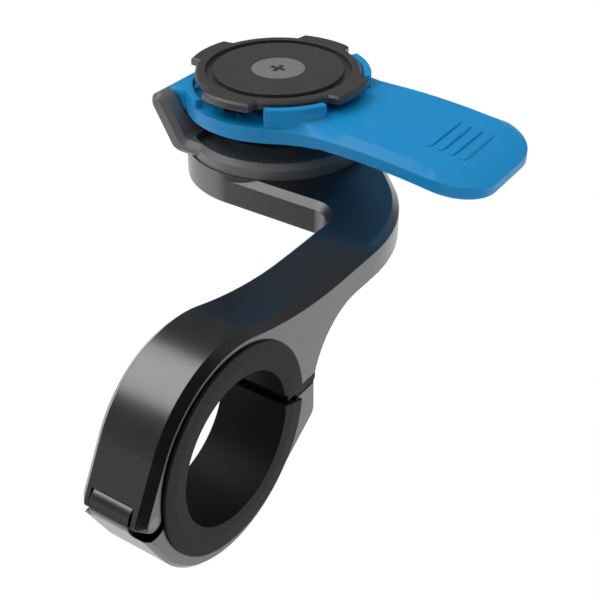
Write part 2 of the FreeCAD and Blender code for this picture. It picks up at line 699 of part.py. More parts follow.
def sector(body, name, lift, inner, outer, half_angle, middle_angle):
    """Ring sector about the head's axis."""
    first, last = f"{middle_angle} - {half_angle}", f"{middle_angle} + {half_angle}"
    drawing = Drawing(body, name, "XY_Plane", lift)
    return drawing.loop([
        (f"{outer} * cos({first})", f"{outer} * sin({first})", 1, outer),
        (f"{outer} * cos({last})", f"{outer} * sin({last})"),
        (f"{inner} * cos({last})", f"{inner} * sin({last})", -1, inner),
        (f"{inner} * cos({first})", f"{inner} * sin({first})"),
    ])


def make_lever():
    """Ring with locking lugs, a raised back rolled round the pin and a drooping paddle in front."""
    body = new_body("release_lever", at_head=True)
    ring = Drawing(body, "ring_plan", "XY_Plane", "ring_z")
    ring.loop([
        ("-throat_x * throat_share", "-throat_y * throat_share", -1, "throat_r"),
        ("-paddle_w / 2", "-throat_y"),
        ("paddle_w / 2", "-throat_y", -1, "throat_r"),
        ("throat_x * throat_share", "-throat_y * throat_share", 1, "seat_d / 2"),
        ("lever_back / 2", "lever_back_y"),
        ("lever_back / 2", "pivot_y"),
        ("-lever_back / 2", "pivot_y"),
        ("-lever_back / 2", "lever_back_y", 1, "seat_d / 2"),
    ])
    swell(body, ring, "ring_pad", "ring_t")
    ramp = Drawing(body, "throat_ramp", "YZ_Plane")
    ramp.loop([
        ("-ramp_y", "ring_z"),
        ("-throat_y", "paddle_under - ramp_step"),
        (f"-throat_y - {BEYOND}", "paddle_under - ramp_step"),
        (f"-throat_y - {BEYOND}", f"ring_z - {BEYOND}"),
        ("-ramp_y", f"ring_z - {BEYOND}"),
    ])
    cut(body, ramp, "throat_ramp_cut")
    section = Drawing(body, "paddle_section", "XZ_Plane")
    section.loop([
        ("-paddle_w / 2", "paddle_under"),
        ("paddle_w / 2", "paddle_under"),
        ("paddle_w / 2", "ring_top"),
        ("paddle_w / 2 - bevel_w", "paddle_top"),
        ("-paddle_w / 2 + bevel_w", "paddle_top"),
        ("-paddle_w / 2", "ring_top"),
    ])
    path = Drawing(body, "paddle_path", "YZ_Plane")
    path.loop([
        ("0", "paddle_top"),
        ("-droop_y", "paddle_top", 1, "droop_r"),
        ("-droop_y - droop_r * sin(tip_drop_angle)", "paddle_top - droop_r * (1 - cos(tip_drop_angle))"),
    ], closed=False)
    paddle = body.newObject("PartDesign::AdditivePipe", "paddle")
    paddle.Profile = section.sketch
    paddle.Spine = path.sketch
    doc.recompute()
    tip = Drawing(body, "paddle_plan", "XY_Plane")
    tip.loop([
        ("-seat_d", "-throat_y"),
        ("-paddle_w / 2", "-throat_y"),
        ("-paddle_w / 2", "-paddle_tip + paddle_corner", 1, "paddle_corner"),
        ("-paddle_w / 2 + paddle_corner", "-paddle_tip"),
        ("paddle_w / 2 - paddle_corner", "-paddle_tip", 1, "paddle_corner"),
        ("paddle_w / 2", "-paddle_tip + paddle_corner"),
        ("paddle_w / 2", "-throat_y"),
        ("seat_d", "-throat_y"),
        ("seat_d", f"-paddle_tip - {BEYOND}"),
        ("-seat_d", f"-paddle_tip - {BEYOND}"),
    ])
    cut(body, tip, "paddle_trim")
    for end, middle_angle, drop in (("front", "225", "front_lug_drop"), ("rear", "45", "rear_lug_drop")):
        lug = sector(body, f"{end}_lug", "ring_top - bevel_t", "(lug_r - lug_wall)", "lug_r",
                     "lug_half_angle", middle_angle)
        lug_pad = swell(body, lug, f"{end}_lug_pad", f"disc_top - {drop} - ring_top + bevel_t")
        around(body, [lug_pad], f"{end}_lugs", 2, 90)
    for side, sign in (("low", "-"), ("high", "+")):
        rib = sector(body, f"rib_{side}", "ring_top - bevel_t", "(rib_r - rib_w / 2)", "(rib_r + rib_w / 2)",
                     "rib_w * 2", f"rib_turn {sign} rib_angle")
        swell(body, rib, f"rib_{side}_pad", "rib_t + bevel_t")
    plate = Drawing(body, "back_plate", "YZ_Plane")
    plate.box("plate_front", "ring_z", "pivot_y", "pivot_z + pivot_end_r")
    swell(body, plate, "back_plate_pad", "lever_back", symmetric=True)
    roll = Drawing(body, "back_roll", "YZ_Plane").circle("pivot_y", "pivot_z", "pivot_end_r")
    swell(body, roll, "back_roll_pad", "lever_back", symmetric=True)
    hole = Drawing(body, "post_hole", "XY_Plane").circle("0", "0", "lever_hole_r")
    cut(body, hole, "post_hole_cut")
    seat = Drawing(body, "spring_seat", "XY_Plane", "ring_z").circle("0", "0", "spring_r + 2 * spring_wire_d")
    cut(body, seat, "spring_seat_cut", "spring_seat_t", reverse=True)
    pin = Drawing(body, "roll_bore", "YZ_Plane").circle("pivot_y", "pivot_z", "lever_pin_d / 2 + pin_gap")
    cut(body, pin, "roll_bore_cut")
    return body


def make_lever_pin():
    body = new_body("lever_hinge_pin", at_head=True)
    end = Drawing(body, "pin_end", "YZ_Plane", "-cradle_w / 2 + pin_blind")
    end.circle("pivot_y", "pivot_z", "lever_pin_d / 2")
    swell(body, end, "pin", "cradle_w - pin_blind")
    return body


def make_spring():
    """Open coil between the cradle's boss and the underside of the lever."""
    body = new_body("lever_return_spring", at_head=True)
    wire = Drawing(body, "wire", "XZ_Plane")
    wire.circle("spring_r", "boss_t + spring_wire_d / 2", "spring_wire_d / 2")
    coil = body.newObject("PartDesign::AdditiveHelix", "coil")
    coil.Profile = wire.sketch
    coil.ReferenceAxis = (wire.sketch, ["V_Axis"])
    coil.Mode = "height-turns-angle"
    coil.setExpression("Height", tie("ring_z + spring_seat_t - boss_t - spring_wire_d"))
    coil.setExpression("Turns", tie("spring_turns"))
    doc.recompute()
    return body


def make_post():
    """Turned post that carries the lock disc above the lever."""
    body = new_body("centre_post", at_head=True)
    half = Drawing(body, "post_section", "XZ_Plane")
    half.loop([
        ("screw_way_r", "boss_t"),
        ("post_d / 2", "boss_t"),
        ("post_d / 2", "disc_z"),
        ("sink_foot_r", "disc_z"),
        ("screw_way_r", "disc_z - (sink_foot_r - screw_way_r)"),
    ])
    spin(body, half, "post", "V_Axis")
    return body


def make_disc():
    """Lock disc: grooved face, countersunk middle and four tabs."""
    body = new_body("lock_disc", at_head=True)
    half = Drawing(body, "disc_section", "XZ_Plane")
    half.loop([
        ("sink_foot_r", "disc_z"),
        ("core_r - under_inset", "disc_z"),
        ("core_r", "disc_top - tab_t"),
        ("core_r", "disc_top - disc_edge"),
        ("core_r - disc_edge", "disc_top"),
        ("groove_r", "disc_top"),
        ("groove_r", "disc_top - groove_t"),
        ("groove_r - groove_w", "disc_top - groove_t"),
        ("groove_r - groove_w", "disc_top"),
        ("sink_r", "disc_top"),
        ("sink_r", "disc_top - head_screw_sink"),
    ])
    spin(body, half, "disc", "V_Axis")
    tab = Drawing(body, "tab_plan", "XY_Plane", "disc_top - tab_t")
    root = "(core_r - disc_edge)"
    tab.loop([
        ("tab_r * cos(tab_half_angle)", "-tab_r * sin(tab_half_angle)", 1, "tab_r"),
        ("tab_r * cos(tab_half_angle)", "tab_r * sin(tab_half_angle)"),
        (f"{root} * cos(tab_root_angle)", f"{root} * sin(tab_root_angle)"),
        (f"{root} * cos(tab_root_angle)", f"-{root} * sin(tab_root_angle)"),
    ])
    around(body, [swell(body, tab, "tab", "tab_t")], "tabs", 4)
    top = number("disc_top")
    core = number("core_r")
    trim_edges(body, "Chamfer", "tab_edges", "disc_edge",
               lambda middle, faces: abs(middle.z - top) < 1e-6
               and math.hypot(middle.x, middle.y) > core + PICK_ROOM)
    return body


def make_head_screw():
    """Countersunk cross-head screw down the head's axis."""
    body = new_body("head_screw", at_head=True)
    half = Drawing(body, "screw_section", "XZ_Plane")
    half.loop([
        ("0", "-head_screw_bite"),
        ("head_screw_r", "-head_screw_bite"),
        ("head_screw_r", "head_screw_top - (head_screw_head_d / 2 - head_screw_r)"),
        ("head_screw_head_d / 2", "head_screw_top"),
        ("0", "head_screw_top"),
    ])
    spin(body, half, "screw", "V_Axis")
    wide, narrow = "cross_l / 2", "cross_w / 2"
    cross = Drawing(body, "cross", "XY_Plane", "head_screw_top")
    cross.loop([
        (wide, f"-{narrow}"), (wide, narrow), (narrow, narrow), (narrow, wide),
        (f"-{narrow}", wide), (f"-{narrow}", narrow), (f"-{wide}", narrow), (f"-{wide}", f"-{narrow}"),
        (f"-{narrow}", f"-{narrow}"), (f"-{narrow}", f"-{wide}"),
        (narrow, f"-{wide}"), (narrow, f"-{narrow}"),
    ])
    cut(body, cross, "cross_cut", "cross_t")
    return body


PIECES = [
    make_arm(), make_strap(), make_hinge_pin(), make_clamp_screw(), make_collar(),
    make_cradle(), make_lever(), make_lever_pin(), make_spring(), make_post(), make_disc(), make_head_screw(),
]
doc.recompute()
for thing in doc.Objects:
    if "Invalid" in thing.State or "Error" in thing.State:
        raise RuntimeError(f"{thing.Label} failed: {thing.State}")
os.makedirs("parts", exist_ok=True)
for piece in PIECES:
    if piece.Shape.isNull() or not piece.Shape.isValid():
        raise RuntimeError(f"{piece.Label} has no sound shape")
    piece.Shape.exportStep(f"parts/{piece.Label}.step")
    box = piece.Shape.BoundBox
    print(piece.Label, len(piece.Shape.Solids), round(piece.Shape.Volume, 1),
          [round(v, 2) for v in (box.XMin, box.YMin, box.ZMin, box.XMax, box.YMax, box.ZMax)])
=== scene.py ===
# %% [markdown]
# A handlebar phone mount, dressed for its picture
#
# The solid pieces come from the CAD frame and already have their true size and place. This lesson
# gives them finishes, shapes the tip of the lever, shows a copy in place of the spring under it,
# and adds grip ribs and a screw thread, which are easier to make as surfaces than as solids. It
# also sets up a camera, a floor and soft light. All lengths are in metres.

# %% Load the frame
import math

import bmesh
import bpy
import numpy as np
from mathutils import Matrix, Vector


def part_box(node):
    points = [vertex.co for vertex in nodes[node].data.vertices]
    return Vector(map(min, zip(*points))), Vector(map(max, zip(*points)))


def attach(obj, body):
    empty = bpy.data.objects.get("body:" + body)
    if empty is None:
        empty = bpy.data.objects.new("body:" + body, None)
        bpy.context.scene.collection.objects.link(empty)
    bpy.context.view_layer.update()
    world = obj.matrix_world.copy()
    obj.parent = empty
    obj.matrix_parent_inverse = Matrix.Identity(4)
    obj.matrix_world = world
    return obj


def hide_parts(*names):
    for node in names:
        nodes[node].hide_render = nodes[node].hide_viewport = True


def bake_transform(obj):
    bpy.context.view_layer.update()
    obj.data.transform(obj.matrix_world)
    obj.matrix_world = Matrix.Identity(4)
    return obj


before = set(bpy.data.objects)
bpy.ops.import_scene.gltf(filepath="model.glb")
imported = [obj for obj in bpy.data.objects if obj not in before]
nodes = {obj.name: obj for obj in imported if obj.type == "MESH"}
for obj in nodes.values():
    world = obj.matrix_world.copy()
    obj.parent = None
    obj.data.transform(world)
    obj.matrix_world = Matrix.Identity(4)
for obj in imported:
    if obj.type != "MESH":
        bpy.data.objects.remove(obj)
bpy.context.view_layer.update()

MM = 0.001
print("pieces from the frame:", sorted(nodes))

# %% [markdown]
# The camera comes first, because every later choice is judged through it. Its place was worked out
# from known sizes on the object: the round bore, the width of the clamp and the round head. It
# stands behind the bar on the left, a little above, and looks down and forward along the arm. A
# small helper puts a new object into the scene, and the lamps and the pieces use it too.

# %% Camera
LENS_MM, SENSOR_MM = 66.79, 36.0
NEAREST = 5 * MM
CAMERA_SPOT = Vector((-0.09974, -0.08429, 0.11413))
TURN, TILT = math.radians(-56.23), math.radians(34.49)


def placed(name, content):
    """An object that shows a mesh, a lamp or a camera, linked into the scene."""
    thing = bpy.data.objects.new(name, content)
    bpy.context.scene.collection.objects.link(thing)
    return thing


view = bpy.data.cameras.new("camera")
view.sensor_width = SENSOR_MM
view.lens = LENS_MM
view.clip_start = NEAREST
level = math.cos(TILT)
look = Vector((-math.sin(TURN) * level, math.cos(TURN) * level, -math.sin(TILT)))
camera = placed("camera", view)
camera.location = CAMERA_SPOT
camera.rotation_euler = look.to_track_quat("-Z", "Y").to_euler()
bpy.context.scene.camera = camera
bpy.context.scene.view_settings.view_transform = "Standard"
print("camera looks along", tuple(round(part, 3) for part in look))

# %% [markdown]
# Every surface in this lesson is a grid of points. A row of the grid is most often a closed ring,
# and the rows follow each other over the surface. numpy works out all the points at once, and this
# helper turns the cells of the grid into faces. Where a ring shrinks to one point, its doubles are
# merged, which closes the pole, and the normals are then turned outwards.

# %% From grids to meshes
GRID_GAP = 1e-8


def weld(mesh, gap, outwards=False, slivers=False):
    """Merge points within a gap, turn faces outwards or drop slivers if asked, shade smoothly."""
    shell = bmesh.new()
    shell.from_mesh(mesh)
    bmesh.ops.remove_doubles(shell, verts=shell.verts, dist=gap)
    if outwards:
        bmesh.ops.recalc_face_normals(shell, faces=shell.faces)
    if slivers:
        bmesh.ops.dissolve_degenerate(shell, edges=shell.edges, dist=gap)
    shell.to_mesh(mesh)
    shell.free()
    mesh.polygons.foreach_set("use_smooth", np.ones(len(mesh.polygons), dtype=bool))


def skin(name, grids, ring=True):
    """A piece over grids of points, shaped (grids, rows, columns, 3): neighbours span a face."""
    count, rows, columns = grids.shape[:3]
    index = np.arange(count * rows * columns).reshape(count, rows, columns)
    if ring:
        index = np.concatenate([index, index[:, :, :1]], axis=2)
    cells = [index[:, :-1, :-1], index[:, :-1, 1:], index[:, 1:, 1:], index[:, 1:, :-1]]
    faces = np.stack(cells, axis=-1).reshape(-1, 4)
    mesh = bpy.data.meshes.new(name)
    mesh.vertices.add(count * rows * columns)
    mesh.vertices.foreach_set("co", grids.ravel())
    mesh.loops.add(faces.size)
    mesh.loops.foreach_set("vertex_index", faces.ravel())
    mesh.polygons.add(len(faces))
    mesh.polygons.foreach_set("loop_start", np.arange(0, faces.size, 4))
    mesh.update(calc_edges=True)
    weld(mesh, GRID_GAP, outwards=True)
    print(name, "has", len(mesh.polygons), "faces")
    return placed(name, mesh)


def round_steps(steps):
    """Angles that go once round a circle, without the last, which would repeat the first."""
    return np.linspace(0, math.tau, steps, endpoint=False)


# %% [markdown]
# A studio floor is a large plain sheet. It lies well below the mount, which in use hangs on a bar,
# so the shadow on it is wide and soft. It could be a plane from the Add menu. Here it is a disc, a
# ring that grows from a point, so that it has no corners to show in a low view.

# %% Floor
FLOOR_Z = -0.28
FLOOR_RINGS = np.array([0.0, 1.0, 40.0])
FLOOR_STEPS = 64

turn = round_steps(FLOOR_STEPS)
reach = FLOOR_RINGS[:, None]
sheet = np.broadcast_arrays(reach * np.cos(turn), reach * np.sin(turn), FLOOR_Z)
floor = skin("floor", np.stack(sheet, axis=-1)[None])

# %% [markdown]
# Satin metal is a blurred mirror, so it looks like what stands round it. A photographer lights it
# with one large softbox, fills the shadows from above, and stands cards round the table, just
# outside the picture, so that the edges of the metal go dark: here a black one behind the camera
# and a grey one behind the bar. Only reflections see them, so that no other view has them in the
# way.

# %% Softbox, fill, cards and room
CARD_COLUMNS, CARD_ROWS = 24, 8
ROOM_LIGHT = 0.15


def softbox(name, strength, spread, direction):
    """A broad, even lamp: spread is the angle that it fills, seen from the object, in degrees."""
    lamp = bpy.data.lights.new(name, "SUN")
    lamp.energy = strength
    lamp.angle = math.radians(spread)
    holder = placed(name, lamp)
    holder.rotation_euler = Vector(direction).to_track_quat("-Z", "Y").to_euler()
    return holder


def card(name, away, first, last, top):
    """A bent card: part of a circle round the clamp, between two headings, from floor to top."""
    heading = np.radians(np.linspace(first, last, CARD_COLUMNS))[None, :]
    height = np.linspace(FLOOR_Z, top, CARD_ROWS)[:, None]
    parts = np.broadcast_arrays(away * np.cos(heading), away * np.sin(heading), height)
    board = skin(name, np.stack(parts, axis=-1)[None], ring=False)
    for ray in ("camera", "diffuse", "transmission", "shadow"):
        setattr(board, "visible_" + ray, False)
    return board


softbox("softbox", strength=1.0, spread=46, direction=(0.17, -0.52, -0.83))
softbox("fill", strength=2.0, spread=120, direction=(0.0, 0.0, -1.0)).visible_glossy = False
black_card = card("black_card", away=0.30, first=215, last=300, top=0.30)
grey_card = card("grey_card", away=0.32, first=128, last=215, top=0.06)

room = bpy.data.worlds.new("room")
bpy.context.scene.world = room
room.use_nodes = True
room.node_tree.nodes["Background"].inputs["Color"].default_value = (1, 1, 1, 1)
room.node_tree.nodes["Background"].inputs["Strength"].default_value = ROOM_LIGHT
print("lit")

# %% [markdown]
# The tip of the lever's paddle is shaped further than on the solid, on a copy. First its form is
# put into numbers: the height of its top, and the outline of its tip. The two corners of the tip
# are pushed out a little, along rays from the middle of each corner's circle, which makes them
# squarer.

# %% The paddle's own shape
PADDLE_HALF = 14.0 * MM
PADDLE_TIP = 49.3 * MM
CORNER_R, TIGHT_R = 10.5 * MM, 8.6 * MM
PADDLE_TOP = 26.95 * MM
DROOP_START = 20.0 * MM
DROOP_R = 145.0 * MM
PUSH_POWER = 4
TINY, LEAST_COSINE = 1e-9, 0.5

head_low, head_high = (np.array(corner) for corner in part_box("head_screw"))
head_axis = (head_low + head_high) / 2


def paddle_height(ahead):
    """Top of the paddle: level at first, then an arc of a large circle that falls away."""
    past = np.maximum(-ahead - DROOP_START, 0)
    return PADDLE_TOP - (DROOP_R - np.sqrt(DROOP_R ** 2 - past ** 2))


def tip_outline(share, lead):
    """Points and inward directions round the tip: a lead, a quarter circle, the end, and back."""
    arc = TIGHT_R * math.pi / 2
    end = 2 * (PADDLE_HALF - TIGHT_R)
    way = share * (2 * lead + 2 * arc + end) - lead
    angle = math.pi + np.clip(way, 0, arc) / TIGHT_R + np.clip(way - arc - end, 0, arc) / TIGHT_R
    middle = TIGHT_R - PADDLE_HALF + np.clip(way - arc, 0, end)
    across = middle + TIGHT_R * np.cos(angle)
    beside = np.maximum(np.maximum(-way, way - 2 * arc - end), 0)
    ahead = TIGHT_R - PADDLE_TIP + TIGHT_R * np.sin(angle) + beside
    return across, ahead, -np.cos(angle), -np.sin(angle)


def squared(points):
    """Corners pushed out: each ray from a corner's middle grows from the wide circle to the tight.

    The push fades towards the middle with a power of the distance. Where a ray passes beside the
    tight circle, it ends on the straight edge. Two least values keep the divisions finite.
    """
    across, ahead = points[:, 0] - head_axis[0], points[:, 1] - head_axis[1]
    aside = np.maximum(np.abs(across) - (PADDLE_HALF - CORNER_R), 0)
    onward = np.maximum(CORNER_R - PADDLE_TIP - ahead, 0)
    reach = np.maximum(np.hypot(aside, onward), TINY)
    cosine, sine = aside / reach, onward / reach
    offset = CORNER_R - TIGHT_R
    middle = offset * (cosine + sine)
    circle = middle + np.sqrt(TIGHT_R ** 2 - 2 * offset ** 2 + middle ** 2)
    straight = CORNER_R / np.maximum(np.maximum(cosine, sine), LEAST_COSINE)
    beside = np.minimum(cosine, sine) * straight < offset
    growth = (np.where(beside, straight, circle) / CORNER_R - 1) * (reach / CORNER_R) ** PUSH_POWER
    growth = growth * (aside > 0) * (onward > 0)
    moved = ahead - onward * growth
    rise = paddle_height(moved) - paddle_height(ahead)
    return points + np.stack([np.sign(across) * aside * growth, moved - ahead, rise], axis=-1)


print("paddle top at the tip:", round(float(paddle_height(-PADDLE_TIP)) / MM, 2), "mm")

# %% [markdown]
# The bevel of the paddle runs round its tip and widens there into a soft slope for the thumb. On
# the solid the bevel stops at the tip, because it is swept along the paddle. So a cutter lies over
# the tip of the copy, and a Boolean takes away what it covers. The underside of the cutter is the
# slope: a section that is carried round the tip. The copy is cleaned afterwards and keeps its sharp
# edges.

# %% Carve the tip
BEVEL_WIDE, BEVEL_DEEP = 2.1 * MM, 1.15 * MM
LEAD_WIDE, LEAD_DEEP = 0.9 * BEVEL_WIDE, 0.7 * BEVEL_DEEP
SLOPE_WIDE, SLOPE_DEEP = 7.1 * MM, 1.72 * MM
CUTTER_LEAD, CUTTER_OUT, CUTTER_UP = 4.0 * MM, 1.0 * MM, 3.0 * MM
OVERRUN = 1.05
TIP_STEPS, SLOPE_STEPS = 161, 25
COPY_GAP, CARVED_GAP = 1e-7, 2e-6
SHARP_ANGLE = math.radians(20)


def flattened(wave, power):
    """A signed number with its size raised to a power."""
    return np.sign(wave) * np.abs(wave) ** power


def tip_cutter():
    """A slope round the tip: its drop is its depth times (1 - inwards / width) to a power.

    It starts a little above the bevel of the solid and sinks into it, so that no step shows. Its
    cover follows the top of the paddle.
    """
    share = np.linspace(0, 1, TIP_STEPS)[:, None]
    swell = np.sin(math.pi * share) ** 2
    wide = LEAD_WIDE * (1 - swell) + SLOPE_WIDE * swell
    deep = LEAD_DEEP * (1 - swell) + SLOPE_DEEP * swell
    part = np.linspace(0, OVERRUN, SLOPE_STEPS)[None, :]
    drop = deep * flattened(1 - part, 1 + swell)
    outside = deep * (1 + (1 + swell) * CUTTER_OUT / wide)
    outer, above = np.full_like(share, -CUTTER_OUT), np.full_like(share, -CUTTER_UP)
    inward = np.concatenate([outer, part * wide, OVERRUN * wide, outer], axis=1)
    fall = np.concatenate([outside, drop, above, above], axis=1)
    across, ahead, in_x, in_y = tip_outline(share, CUTTER_LEAD)
    ahead = ahead + in_y * inward
    parts = head_axis[0] + across + in_x * inward, head_axis[1] + ahead, paddle_height(ahead) - fall
    points = np.stack(parts, axis=-1)
    ends = points[[0, -1]].mean(axis=1, keepdims=True) + 0 * points[[0, -1]]
    return np.concatenate([ends[:1], points, ends[1:]])


def stand_in(name, node):
    """A copy of a CAD node with its doubles merged, which is shown in its place."""
    mesh = nodes[node].data.copy()
    weld(mesh, COPY_GAP)
    piece = placed(name, mesh)
    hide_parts(node)
    return piece


def carve(piece, shift, cutter):
    """Shift the points of a piece, then take away what a cutter covers, and the cutter."""
    points = np.empty(3 * len(piece.data.vertices))
    piece.data.vertices.foreach_get("co", points)
    piece.data.vertices.foreach_set("co", shift(points.reshape(-1, 3)).ravel())
    trim = piece.modifiers.new("trim", "BOOLEAN")
    trim.object = cutter
    trim.operation = "DIFFERENCE"
    trim.solver = "EXACT"
    seen = piece.evaluated_get(bpy.context.evaluated_depsgraph_get())
    result = bpy.data.meshes.new_from_object(seen)
    piece.modifiers.clear()
    piece.data = result
    bpy.data.objects.remove(cutter)
    weld(result, CARVED_GAP, slivers=True)
    result.set_sharp_from_angle(angle=SHARP_ANGLE)
    piece.modifiers.new("shade", "WEIGHTED_NORMAL").keep_sharp = True


lever = stand_in("release_lever_shaped", "release_lever")
carve(lever, squared, skin("tip_cutter", tip_cutter()[None]))
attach(lever, "lever")
print("lever has", len(lever.data.polygons), "faces")

# %% [markdown]
# The tip also has a raised grip for the thumb. Four low ribs run across it. They could be bars
# joined by a Boolean, but they are softer than bars: each is a superellipsoid, a ball with flat
# sides, half sunk in the paddle. It is bent to the droop of the paddle by adding the paddle's
# height at every point.

# %% Grip ribs
RIB_PLACES = np.array([-36.0, -38.2, -40.4, -42.6]) * MM
RIB_HALF = np.array([6.0, 0.65, 0.4]) * MM
RIB_ROWS, RIB_COLUMNS = 17, 64
SPREAD_POWER, ACROSS_POWER, ALONG_POWER, UP_POWER = 0.5, 0.25, 0.6, 0.8


def grip_ribs():
    """Superellipsoids: rings of latitude on three half lengths, each sine to a power under 1."""
    rise = np.linspace(-math.pi / 2, math.pi / 2, RIB_ROWS)[None, :, None]
    around = round_steps(RIB_COLUMNS)[None, None, :]
    spread = flattened(np.cos(rise), SPREAD_POWER)
    across = RIB_HALF[0] * spread * flattened(np.cos(around), ACROSS_POWER)
    along = RIB_HALF[1] * spread * flattened(np.sin(around), ALONG_POWER)
    up = RIB_HALF[2] * flattened(np.sin(rise), UP_POWER)
    ahead = RIB_PLACES[:, None, None] + along
    parts = head_axis[0] + across, head_axis[1] + ahead, paddle_height(ahead) + up
    return np.stack(np.broadcast_arrays(*parts), axis=-1)


ribs = skin("paddle_grip_ribs", grip_ribs())
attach(ribs, "lever")

# %% [markdown]
# The return spring under the lever is squeezed when the lever goes down, and a stiff coil would
# stick through the lever then. Here a copy stands for it, with its doubles merged and its place
# baked into its points; the copy does not follow the lever.

# %% Return spring
coil = stand_in("return_spring_coil", "lever_return_spring")
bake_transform(coil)

# %% [markdown]
# The clamp screw shows its thread when the strap swings open. The solid has a plain shank, which is
# right for its mass and its fit. The thread is a ridge wound on it: a small oval ring of points
# carried up a helix, that grows from nothing at the lower end and fades out again at the tip.

# %% Screw thread
SCREW_R = 1.5 * MM
THREAD_DEEP = 0.11 * MM
THREAD_PITCH = 0.5 * MM
THREAD_FROM, THREAD_TO = -1.15 * MM, 5.1 * MM
RIDGE_HALF = 0.46
STEPS_A_TURN, RIDGE_STEPS = 40, 12

screw_low, screw_high = (np.array(corner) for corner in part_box("clamp_screw"))
screw_axis = (screw_low + screw_high) / 2


def wound_ridge():
    """An oval, nearly a pitch high, that stands out by the thread's depth and climbs the screw.

    It climbs a pitch a turn, and at both ends it grows with the square root of the turns.
    """
    turns = (THREAD_TO - THREAD_FROM) / THREAD_PITCH
    climb = np.linspace(0, turns, int(turns * STEPS_A_TURN))[:, None]
    ring = round_steps(RIDGE_STEPS)[None, :]
    fade = np.sqrt(np.clip(np.minimum(climb, turns - climb), 0, 1))
    out = SCREW_R + THREAD_DEEP * fade * np.cos(ring)
    up = THREAD_FROM + THREAD_PITCH * (climb + RIDGE_HALF * fade * np.sin(ring))
    angle = math.tau * climb
    parts = screw_axis[0] + out * np.cos(angle), screw_axis[1] + out * np.sin(angle), up
    return np.stack(parts, axis=-1)


thread = skin("clamp_screw_thread", wound_ridge()[None])
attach(thread, "strap")

# %% [markdown]
# Finishes are wired from nodes. To keep the wiring readable, one class wraps a socket so that plain
# arithmetic on it adds Math nodes, and one method adds every other node from its type, its settings
# and its inputs.

# %% Sockets as numbers
EDGE_SAMPLES = 6


class Signal:
    """A shader output that can be used in arithmetic."""

    def __init__(self, finish, socket):
        self.finish = finish
        self.socket = socket

    def maths(self, operation, *terms):
        """A Math node on these terms, which are signals or numbers."""
        return self.finish.add("Math", {"operation": operation}, dict(enumerate(terms)))

    def __add__(self, other):
        return self.maths("ADD", self, other)

    def __sub__(self, other):
        return self.maths("SUBTRACT", self, other)

    def __rsub__(self, other):
        return self.maths("SUBTRACT", other, self)

    def __mul__(self, other):
        return self.maths("MULTIPLY", self, other)

    def __truediv__(self, other):
        return self.maths("DIVIDE", self, other)

    def __rtruediv__(self, other):
        return self.maths("DIVIDE", other, self)

    __radd__ = __add__
    __rmul__ = __mul__


class Finish:
    """A material in the making."""

    def __init__(self, name):
        self.material = bpy.data.materials.new(name)
        self.material.use_nodes = True
        self.tree = self.material.node_tree
        self.shader = self.tree.nodes["Principled BSDF"]

    def feed(self, socket, content):
        """Link a signal to a socket, or set its constant."""
        if isinstance(content, Signal):
            self.tree.links.new(content.socket, socket)
        else:
            socket.default_value = content

    def add(self, kind, settings=None, sockets=None, out=0):
        """Add a node: its type, its settings, and the values or links of its sockets."""
        node = self.tree.nodes.new("ShaderNode" + kind)
        for key, setting in (settings or {}).items():
            setattr(node, key, setting)
        for key, content in (sockets or {}).items():
            self.feed(node.inputs[key], content)
        return Signal(self, node.outputs[out])

    def set(self, **sockets):
        """Set the shader's own sockets: words joined by _ are the socket's name."""
        for key, content in sockets.items():
            self.feed(self.shader.inputs[key.replace("_", " ")], content)
        return self

    def place(self):
        """The point on the piece, in its own frame."""
        return self.add("TexCoord", out=3)

    def noise(self, size):
        """Cloudy noise whose blotches are about this size in metres, from 0 to 1."""
        return self.add("TexNoise", {}, {"Vector": self.place(), "Scale": 1 / size, "Detail": 2.0})

    def from_axis(self, axis):
        """Distance from an upright axis: the place is moved to the axis, flattened and measured."""
        sockets = {"Location": (-axis[0], -axis[1], 0.0), "Scale": (1.0, 1.0, 0.0)}
        level = self.add("Mapping", {}, {"Vector": self.place(), **sockets})
        return self.add("VectorMath", {"operation": "LENGTH"}, {0: level}, out=1)

    def shades(self, dark, light, amount):
        """A colour between two, by a signal from 0 to 1. One number stands for a grey."""
        ends = [(*np.broadcast_to(colour, 3).tolist(), 1) for colour in (dark, light)]
        return self.add("Mix", {"data_type": "RGBA"}, {0: amount, 6: ends[0], 7: ends[1]}, out=2)

    def rounded(self, edge):
        """A surface normal that softens the piece's corners; edge is their radius."""
        return self.add("Bevel", {"samples": EDGE_SAMPLES}, {"Radius": edge})

    def relief(self, height, depth, edge):
        """A surface normal from a height signal, over softened corners."""
        sockets = {"Height": height, "Distance": depth, "Strength": 1.0}
        return self.add("Bump", {}, {**sockets, "Normal": self.rounded(edge)})


print("wiring tools ready")

# %% [markdown]
# The arm and the strap are machined from aluminium, blasted to an even satin and anodised dark
# grey. The metal shows its surroundings softly, so it is a metallic shader with a broad gloss. The
# grain of blasting is too fine to see, so only a faint cloud makes the colour and the gloss uneven.
# The machined corners are softened a little and catch a thin line of light.

# %% Anodised metal
METAL_DARK, METAL_LIGHT = (0.160, 0.161, 0.164), (0.180, 0.181, 0.184)
METAL_GLOSS, METAL_UNEVEN = 0.26, 0.05
METAL_CLOUD, METAL_EDGE = 4 * MM, 0.15 * MM


def anodised():
    """A dark metal: a cloud between two near greys and two near roughnesses."""
    finish = Finish("satin anodised metal")
    cloud = finish.noise(METAL_CLOUD)
    return finish.set(
        Base_Color=finish.shades(METAL_DARK, METAL_LIGHT, cloud),
        Metallic=1.0,
        Roughness=METAL_GLOSS + METAL_UNEVEN * cloud,
        Normal=finish.rounded(METAL_EDGE),
    ).material


satin_metal = anodised()
print("made", satin_metal.name)

# %% [markdown]
# Four plastics are moulded: the collar in soft black, the cradle in dark grey, the disc in a darker
# grey with a fine spark texture, and the lever in satin blue. All are a body colour under a weak,
# wide gloss, so one function makes them and only their numbers differ.

